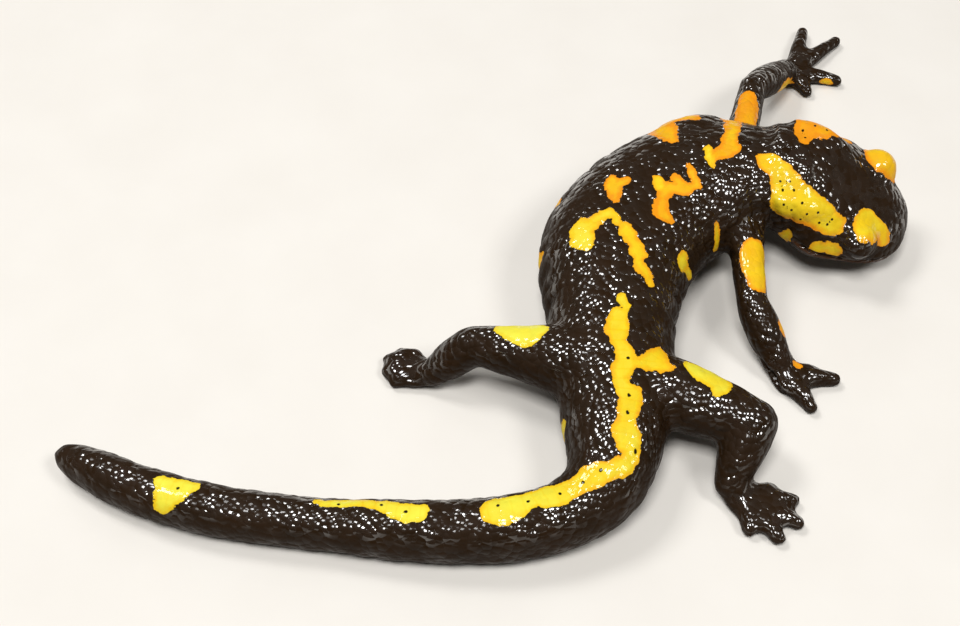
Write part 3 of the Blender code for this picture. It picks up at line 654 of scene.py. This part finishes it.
# living amphibian skin, granular and wet: deep black, enamel-like yellow, many small glints
def skinMaterial():
    material, tree = newMaterial("wetGranularSkin")
    look, perMm = skinLook, 1 / mm
    place = addNode(tree, "ShaderNodeTexCoord", output="Object")
    marking = addNode(tree, "ShaderNodeAttribute", output="Fac", attribute_name="marking")
    warmth = addNode(tree, "ShaderNodeAttribute", output="Fac", attribute_name="warmth")
    grain = addNode(tree, "ShaderNodeAttribute", output="Fac", attribute_name="grain")
    poreAway = addNode(tree, "ShaderNodeAttribute", output="Vector", attribute_name="poreAway")
    poreNear = addNode(tree, "ShaderNodeAttribute", output="Fac", attribute_name="poreNear")
    ribPlace = addNode(tree, "ShaderNodeAttribute", output="Vector", attribute_name="ribPlace")
    ribbed = addNode(tree, "ShaderNodeAttribute", output="Fac", attribute_name="ribbed")
    film = addNode(tree, "ShaderNodeAttribute", output="Fac", attribute_name="film")
    paintedLipHighlight = addNode(tree, "ShaderNodeAttribute", output="Fac", attribute_name="paintedLipHighlight")

    # the markings' edge strays by a fine noise, and the yellow is warmer close to it
    stray = addNode(tree, "ShaderNodeTexNoise", {
        "Vector": place, "Scale": perMm / look["edgeNoise"], "Detail": 3.0, "Roughness": 0.6,
    })
    stray = addNode(tree, "ShaderNodeMapRange", {
        "Value": stray, "From Min": 0.25, "From Max": 0.75,
        "To Min": -look["edgeWander"], "To Max": look["edgeWander"],
    })
    edge = addNode(tree, "ShaderNodeMath", {0: marking, 1: stray}, operation="ADD")
    isYellow = addNode(tree, "ShaderNodeMapRange", {
        "Value": edge, "From Min": look["edgeSoft"], "From Max": -look["edgeSoft"],
    }, interpolation_type="SMOOTHSTEP")
    rim = addNode(tree, "ShaderNodeMapRange", {
        "Value": edge, "From Min": -look["rim"], "From Max": 0.0, "To Max": look["rimWarmth"],
    })
    broad = addNode(tree, "ShaderNodeTexNoise", {
        "Vector": place, "Scale": perMm / look["mottle"], "Detail": 2.0,
    })
    drift = addNode(tree, "ShaderNodeMapRange", {
        "Value": broad, "From Min": 0.3, "From Max": 0.7,
        "To Min": -look["mottleWarmth"], "To Max": look["mottleWarmth"],
    })
    warm = addNode(tree, "ShaderNodeMath", {0: warmth, 1: rim}, operation="ADD")
    warm = addNode(tree, "ShaderNodeMath", {0: warm, 1: drift}, operation="ADD")
    ribs = addNode(tree, "ShaderNodeTexWave", {
        "Vector": ribPlace, "Scale": math.pi / 10 / look["ribStep"], "Distortion": 4.0,
        "Detail": 2.0, "Detail Scale": 0.6,
    }, output="Fac")
    ribs = addNode(tree, "ShaderNodeMapRange", {
        "Value": ribs, "From Min": 0.85, "From Max": 1.0, "To Max": look["ribWarmth"],
    })
    ribs = addNode(tree, "ShaderNodeMath", {0: ribs, 1: ribbed}, operation="MULTIPLY")
    warm = addNode(tree, "ShaderNodeMath", {0: warm, 1: ribs}, operation="ADD")
    toYellow = addNode(tree, "ShaderNodeMapRange", {"Value": warm, "From Max": look["warmthOfYellow"]})
    toOrange = addNode(tree, "ShaderNodeMapRange", {
        "Value": warm, "From Min": look["warmthOfYellow"], "From Max": look["warmthOfOrange"],
    })
    yellow = addNode(tree, "ShaderNodeMix", {
        0: toYellow, 6: hexColour(look["lemon"]), 7: hexColour(look["yellow"]),
    }, output=2, data_type="RGBA")
    yellow = addNode(tree, "ShaderNodeMix", {
        0: toOrange, 6: yellow, 7: hexColour(look["orange"]),
    }, output=2, data_type="RGBA")

    # the openings of the poison glands, small dark dots in the yellow
    poreGap = addNode(tree, "ShaderNodeVectorMath", {0: poreAway}, output="Value", operation="LENGTH")
    inPore = addNode(tree, "ShaderNodeMapRange", {
        "Value": poreGap, "From Min": look["poreRadius"][1], "From Max": look["poreRadius"][0],
    })
    inPore = addNode(tree, "ShaderNodeMath", {0: inPore, 1: poreNear}, operation="MULTIPLY")
    yellow = addNode(tree, "ShaderNodeMix", {
        0: inPore, 6: yellow, 7: hexColour(look["pore"]),
    }, output=2, data_type="RGBA")
    black = addNode(tree, "ShaderNodeMix", {
        0: broad, 6: hexColour(look["black"]), 7: hexColour(look["brown"]),
    }, output=2, data_type="RGBA")
    # painted highlight: the black turns paler brown along the jaw under the mouth
    black = addNode(tree, "ShaderNodeMix", {
        0: paintedLipHighlight, 6: black, 7: hexColour(look["paintedLipHighlight"]),
    }, output=2, data_type="RGBA")
    colour = addNode(tree, "ShaderNodeMix", {0: isYellow, 6: black, 7: yellow}, output=2, data_type="RGBA")

    # round granules that each catch one glint, in wetter and drier patches
    grains = {"Vector": place, "Scale": perMm / look["granule"]}
    cells = addNode(tree, "ShaderNodeTexVoronoi", grains)
    chance = addNode(tree, "ShaderNodeTexVoronoi", grains, output=1)
    chance = addNode(tree, "ShaderNodeSeparateColor", {"Color": chance})
    chosen = addNode(tree, "ShaderNodeMapRange", {
        "Value": chance, "From Min": look["dullGranules"][0], "From Max": look["dullGranules"][1],
        "To Min": look["dullGlint"],
    })
    dome = addNode(tree, "ShaderNodeMath", {0: cells, 1: cells}, operation="MULTIPLY")
    dome = addNode(tree, "ShaderNodeMapRange", {
        "Value": dome, "From Min": look["granuleEdge"], "From Max": 0.0,
    })
    wet = addNode(tree, "ShaderNodeTexNoise", {
        "Vector": place, "Scale": perMm / look["wetPatch"], "Detail": 2.0,
    })
    wet = addNode(tree, "ShaderNodeMapRange", {
        "Value": wet, "From Min": look["wetNoise"][0], "From Max": look["wetNoise"][1],
    })
    wetGrain = addNode(tree, "ShaderNodeMapRange", {"Value": wet, "To Min": look["dryRelief"]})
    strength = addNode(tree, "ShaderNodeMath", {0: grain, 1: wetGrain}, operation="MULTIPLY")
    calmer = addNode(tree, "ShaderNodeMapRange", {
        "Value": isYellow, "To Min": 1.0, "To Max": look["yellowRelief"],
    })
    strength = addNode(tree, "ShaderNodeMath", {0: strength, 1: calmer}, operation="MULTIPLY")
    relief = addNode(tree, "ShaderNodeMath", {0: dome, 1: strength}, operation="MULTIPLY")
    relief = addNode(tree, "ShaderNodeMath", {0: relief, 1: inPore}, operation="SUBTRACT")
    surface = addNode(tree, "ShaderNodeBump", {"Height": relief, "Distance": look["granuleHeight"] * mm})
    roughness = addNode(tree, "ShaderNodeMapRange", {
        "Value": wet, "To Min": look["wetRoughness"][0], "To Max": look["wetRoughness"][1],
    })
    coat = addNode(tree, "ShaderNodeMapRange", {
        "Value": wet, "To Min": look["wetCoat"][0], "To Max": look["wetCoat"][1],
    })
    coat = addNode(tree, "ShaderNodeMath", {0: coat, 1: film}, operation="MULTIPLY", use_clamp=True)
    coat = addNode(tree, "ShaderNodeMath", {0: coat, 1: chosen}, operation="MULTIPLY")
    dry = addNode(tree, "ShaderNodeMapRange", {
        "Value": isYellow, "To Min": 1.0, "To Max": look["yellowCoat"],
    })
    coat = addNode(tree, "ShaderNodeMath", {0: coat, 1: dry}, operation="MULTIPLY")
    shader = addNode(tree, "ShaderNodeBsdfPrincipled", {
        "Base Color": colour, "Roughness": roughness, "Normal": surface, "Coat Normal": surface,
        "IOR": 1.4, "Specular IOR Level": 0.14, "Coat Weight": coat, "Coat Roughness": 0.08, "Coat IOR": 2.05,
    })
    addNode(tree, "ShaderNodeOutputMaterial", {"Surface": shader})
    return material


hide = fusedHide()
print("skin fused:", len(hide.data.polygons), "faces")
sculptHide(hide)
print("skin sculpted")
markHide(hide)
hide.data.materials.append(skinMaterial())
makeActive(hide)
bpy.ops.object.shade_smooth()
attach(hide, "root")
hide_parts(*[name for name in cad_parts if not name.startswith("eye")])
print("skin marked")

eyeLook = {  # lengths in mm
    "segments": 40,
    "rings": 24,
    "radius": 2.72,  # so that it meets the lids all round
    "cornea": 0.2,  # that the clear front stands proud
    "corneaReach": 1.7,
    "fleck": 0.4,  # across
    "iris": "#2a1608",
    "dark": "#060403",
}


def eyeMaterial():  # moist eye: nearly black all over with faint brown flecks, and one sharp highlight
    material, tree = newMaterial("moistEye")
    place = addNode(tree, "ShaderNodeTexCoord", output="Object")
    flecks = addNode(tree, "ShaderNodeTexNoise", {
        "Vector": place, "Scale": 1 / (eyeLook["fleck"] * mm), "Detail": 3.0,
    })
    tint = addNode(tree, "ShaderNodeMix", {
        0: flecks, 6: hexColour(eyeLook["dark"]), 7: hexColour(eyeLook["iris"]),
    }, output=2, data_type="RGBA")
    shader = addNode(tree, "ShaderNodeBsdfPrincipled", {
        "Base Color": tint, "Roughness": 0.2, "Specular IOR Level": 0.1,
        "Coat Weight": 0.3, "Coat Roughness": 0.03,
    })
    addNode(tree, "ShaderNodeOutputMaterial", {"Surface": shader})
    return material


def makeEye(side, name, node, material):
    matrix = eyeMatrix(side)
    centre = (matrix.translation - layoutShift) * mm
    gaze = (matrix.to_3x3() @ Vector((1, 0, 0))).normalized()
    deselectAll()
    bpy.ops.mesh.primitive_uv_sphere_add(
        segments=eyeLook["segments"], ring_count=eyeLook["rings"], radius=eyeLook["radius"] * mm,
        location=centre, rotation=gaze.to_track_quat("Z", "Y").to_euler(),
    )
    piece = bpy.context.active_object
    piece.name = name
    bpy.ops.object.transform_apply(location=True, rotation=True, scale=True)
    bpy.ops.object.mode_set(mode="EDIT")
    bpy.ops.mesh.select_all(action="DESELECT")
    bpy.ops.object.mode_set(mode="OBJECT")
    front = max(piece.data.vertices, key=lambda vertex: vertex.co.dot(gaze))
    front.select = True
    bpy.ops.object.mode_set(mode="EDIT")
    bpy.ops.transform.translate(  # the cornea rises smoothly from the ball
        value=gaze * eyeLook["cornea"] * mm, use_proportional_edit=True,
        proportional_edit_falloff="SPHERE", proportional_size=eyeLook["corneaReach"] * mm,
    )
    bpy.ops.object.mode_set(mode="OBJECT")
    applyModifier(piece, "SUBSURF", levels=1, render_levels=1)
    piece.data.materials.append(material)
    makeActive(piece)
    bpy.ops.object.shade_smooth()
    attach(piece, "root")
    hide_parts(node)


moist = eyeMaterial()
makeEye(1, "eyeball_left", "eye_left", moist)
makeEye(-1, "eyeball_right", "eye_right", moist)
print("eyes made")

stage = {  # lengths in metres, powers in watts
    "floorSize": 3.0,
    "floorSides": 128,
    "floorThickness": 0.02,
    "floor": "#dfdad2",
    "floorPale": "#e7e3dc",
    "floorMottle": 60.0,  # patches in a metre
    "key": {"place": (-0.1, -0.26, 0.78), "size": 0.25, "power": 4.4, "glossy": True},
    "side": {"place": (-0.36, 0.26, 0.7), "size": 0.22, "power": 2.4, "glossy": True},
    "fill": {"place": (0.42, -0.2, 0.65), "size": 0.22, "power": 1.85, "glossy": True},
    "rim": {"place": (-0.2, 0.55, 0.55), "size": 0.5, "power": 0.7, "glossy": False},
    "world": "#ebe6df",
    "worldStrength": 0.09,
}
view = {  # elevation in degrees, distance, lens and sensor in mm, clip in metres
    "elevation": 52.0,
    "distance": 213.0,
    "lens": 50.0,
    "sensor": 36.0,
    "clip": (0.005, 20.0),
}


def makeFloor():
    deselectAll()
    bpy.ops.mesh.primitive_circle_add(
        vertices=stage["floorSides"], radius=stage["floorSize"] / 2, fill_type="NGON"
    )
    floor = bpy.context.active_object
    floor.name = "floor"
    bpy.ops.object.mode_set(mode="EDIT")
    bpy.ops.mesh.extrude_region_move(TRANSFORM_OT_translate={"value": (0, 0, -stage["floorThickness"])})
    bpy.ops.mesh.select_all(action="SELECT")
    bpy.ops.mesh.normals_make_consistent(inside=False)
    bpy.ops.object.mode_set(mode="OBJECT")
    material, tree = newMaterial("paleMattBoard")  # painted board, matt, with a faint mottle
    place = addNode(tree, "ShaderNodeTexCoord", output="Object")
    mottle = addNode(tree, "ShaderNodeTexNoise", {
        "Vector": place, "Scale": stage["floorMottle"], "Detail": 4.0,
    })
    tint = addNode(tree, "ShaderNodeMix", {
        0: mottle, 6: hexColour(stage["floor"]), 7: hexColour(stage["floorPale"]),
    }, output=2, data_type="RGBA")
    shader = addNode(tree, "ShaderNodeBsdfPrincipled", {"Base Color": tint, "Roughness": 0.85})
    addNode(tree, "ShaderNodeOutputMaterial", {"Surface": shader})
    floor.data.materials.append(material)


def makeLight(name, lamp):
    deselectAll()
    bpy.ops.object.light_add(type="AREA", location=lamp["place"])
    light = bpy.context.active_object
    light.name = name
    light.data.size = lamp["size"]
    light.data.energy = lamp["power"]
    light.visible_glossy = lamp["glossy"]
    light.rotation_euler = (-Vector(lamp["place"])).to_track_quat("-Z", "Y").to_euler()


def makeCamera():
    slope = math.radians(view["elevation"])
    target = -layoutShift * mm
    back = Vector((0, -math.cos(slope), math.sin(slope))) * view["distance"] * mm
    deselectAll()
    bpy.ops.object.camera_add(location=target + back)
    camera = bpy.context.active_object
    camera.rotation_euler = (-back).to_track_quat("-Z", "Y").to_euler()
    camera.data.lens, camera.data.sensor_width = view["lens"], view["sensor"]
    camera.data.clip_start, camera.data.clip_end = view["clip"]
    bpy.context.scene.camera = camera


makeFloor()
for lampName in ("key", "side", "fill", "rim"):
    makeLight(lampName + "Light", stage[lampName])
makeCamera()
world = bpy.data.worlds.new("softStudio")
bpy.context.scene.world = world
world.use_nodes = True
sky = world.node_tree.nodes["Background"]
sky.inputs["Color"].default_value = hexColour(stage["world"])
sky.inputs["Strength"].default_value = stage["worldStrength"]
bpy.context.scene.view_settings.view_transform = "Standard"
print("stage set")
